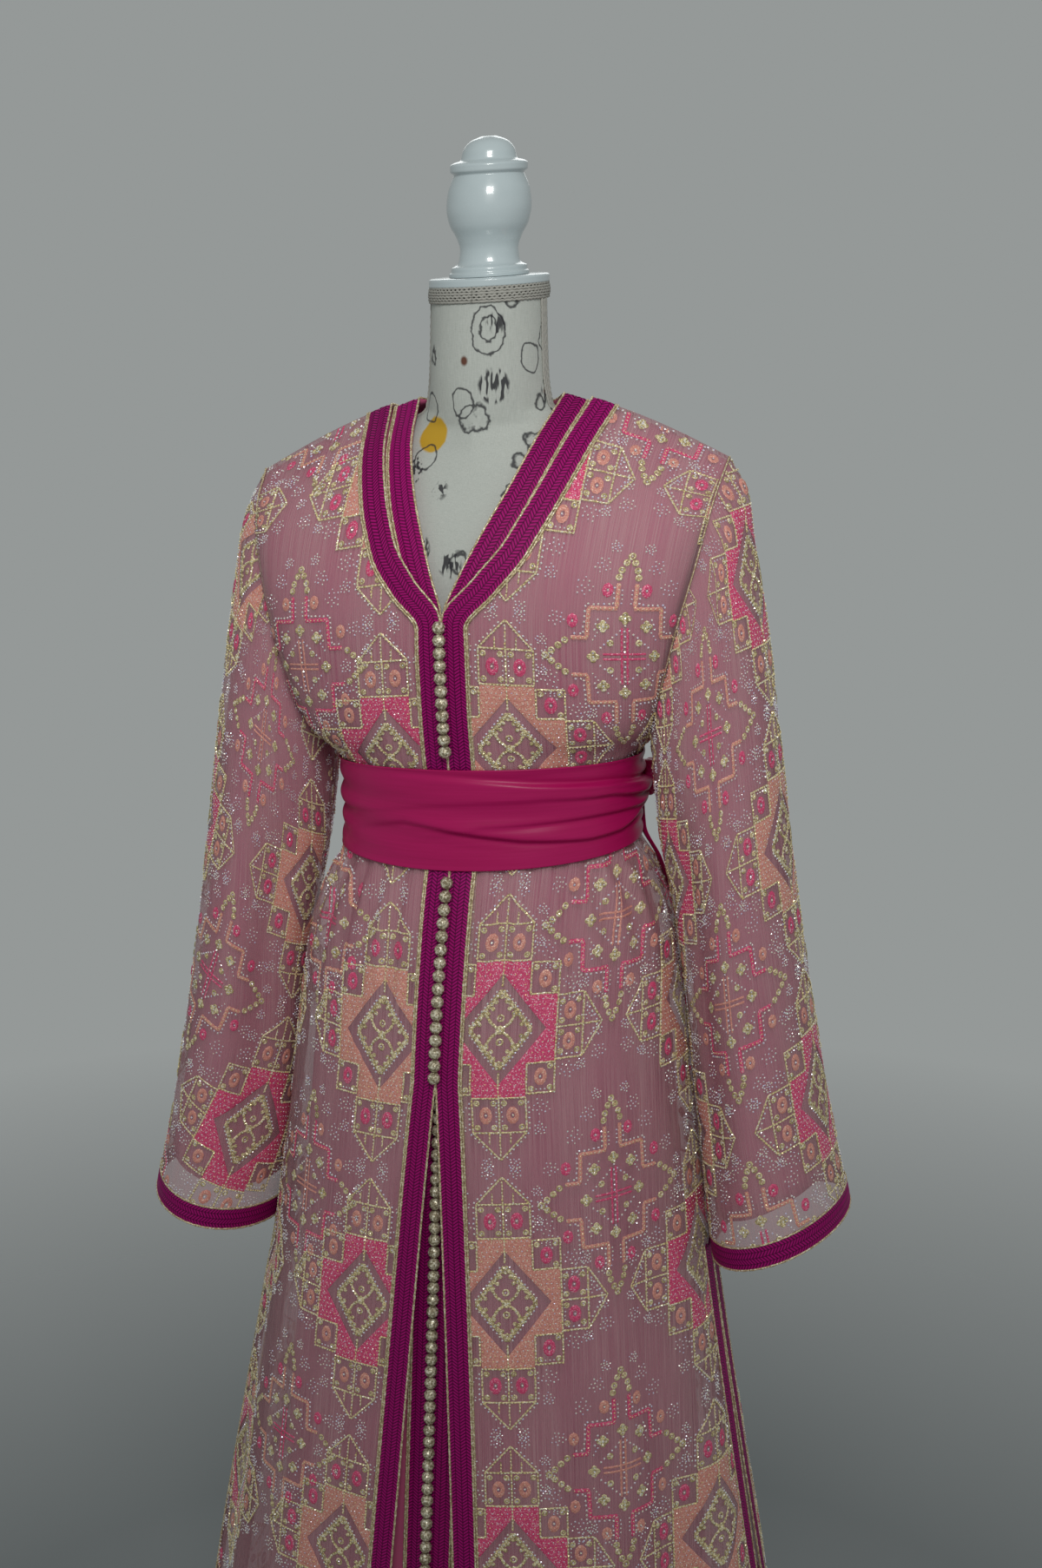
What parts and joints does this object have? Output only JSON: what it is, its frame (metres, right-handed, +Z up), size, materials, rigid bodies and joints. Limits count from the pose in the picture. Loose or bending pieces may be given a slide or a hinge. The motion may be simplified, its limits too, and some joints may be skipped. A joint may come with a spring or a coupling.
{
  "type": "moroccan kaftan on a dress form",
  "caption": "Two-layer long kaftan worn by a limbless dress form: sheer embroidered outer robe with long wide sleeves, V neck and side slits over a plain dress, with braid bands and a sash.",
  "frame": {"origin": "centre of the round base's underside, on the floor", "axes": "+Z up along the stand's pole, front of the garment towards -Y, the wearer's left towards +X"},
  "size_m": [0.6592, 0.5113, 1.6659],
  "materials": {
    "embroidered_chiffon": "sheer crinkled chiffon with gold, pink and peach embroidery",
    "rose_cloth": "dusty pink matt satin",
    "magenta_braid": "herringbone silk braid with gold piping",
    "magenta_satin": "soft folded satin",
    "gold_thread": "knotted metallic thread",
    "linen_cover": "plain woven linen cover",
    "cream_gimp": "white looped gimp trim",
    "white_paint": "white painted wood"
  },
  "bodies": {
    "root": {"outer_front_left": "embroidered_chiffon", "outer_front_right": "embroidered_chiffon", "outer_back": "embroidered_chiffon", "outer_sleeve_left": "embroidered_chiffon", "outer_sleeve_right": "embroidered_chiffon", "under_front_left": "rose_cloth", "under_front_right": "rose_cloth", "under_back": "rose_cloth", "under_sleeve_left": "rose_cloth", "under_sleeve_right": "rose_cloth", "outer_band_left": "magenta_braid", "outer_band_right": "magenta_braid", "cuff_band_left": "magenta_braid", "cuff_band_right": "magenta_braid", "slit_band_front_left": "magenta_braid", "slit_band_front_right": "magenta_braid", "slit_band_back_left": "magenta_braid", "slit_band_back_right": "magenta_braid", "under_band_left": "magenta_braid", "under_band_right": "magenta_braid", "sash_band": "magenta_satin", "sash_knot": "magenta_satin", "sash_tail": "magenta_satin", "outer_buttons_chest": "gold_thread", "outer_buttons_skirt": "gold_thread", "under_buttons": "gold_thread", "form_torso": "linen_cover", "form_neck_trim": "cream_gimp", "form_neck_cap": "white_paint", "form_finial": "white_paint", "form_pole": "white_paint", "form_base": "white_paint"}
  },
  "joints": []
}
